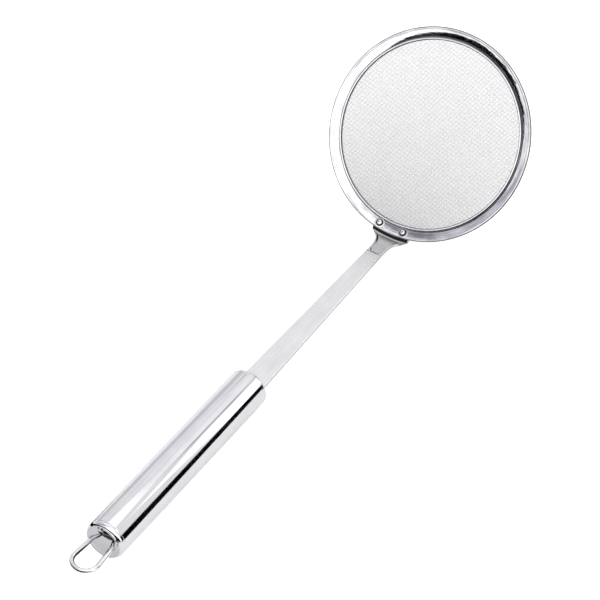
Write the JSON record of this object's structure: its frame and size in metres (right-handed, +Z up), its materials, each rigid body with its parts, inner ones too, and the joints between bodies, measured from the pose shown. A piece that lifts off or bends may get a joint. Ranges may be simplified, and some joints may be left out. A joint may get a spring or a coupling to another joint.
{
  "type": "long-handled tea strainer",
  "caption": "Shallow round head of fine woven steel mesh in a sloped rim, riveted to a flat strap that runs into a round hollow handle with a wire hanging loop.",
  "frame": {"origin": "on the table, under the middle of the whole tool", "axes": "+Z up from the table; +X runs along the table from the head to the hanging loop, under the handle, which rises 3.7 degrees towards the loop; Y is across the tool, which is symmetric about the plane y = 0"},
  "size_m": [0.371, 0.116, 0.0901],
  "materials": {
    "rim_steel": "satin, turned around the rim",
    "mesh_steel": "fine woven wire, bright",
    "strap_steel": "lengthwise satin, polished edges",
    "handle_steel": "mirror polished with faint lengthwise lines",
    "loop_steel": "mirror polished wire",
    "rivet_steel": "polished domed heads"
  },
  "bodies": {
    "root": {"rim_ring": "rim_steel", "mesh_clamp_ring": "rim_steel", "mesh_disc": "mesh_steel", "neck_strap": "strap_steel", "rivet_left": "rivet_steel", "rivet_right": "rivet_steel", "front_cap": "handle_steel", "handle_tube": "handle_steel", "rear_cap": "handle_steel", "hanging_loop": "loop_steel"}
  },
  "joints": []
}
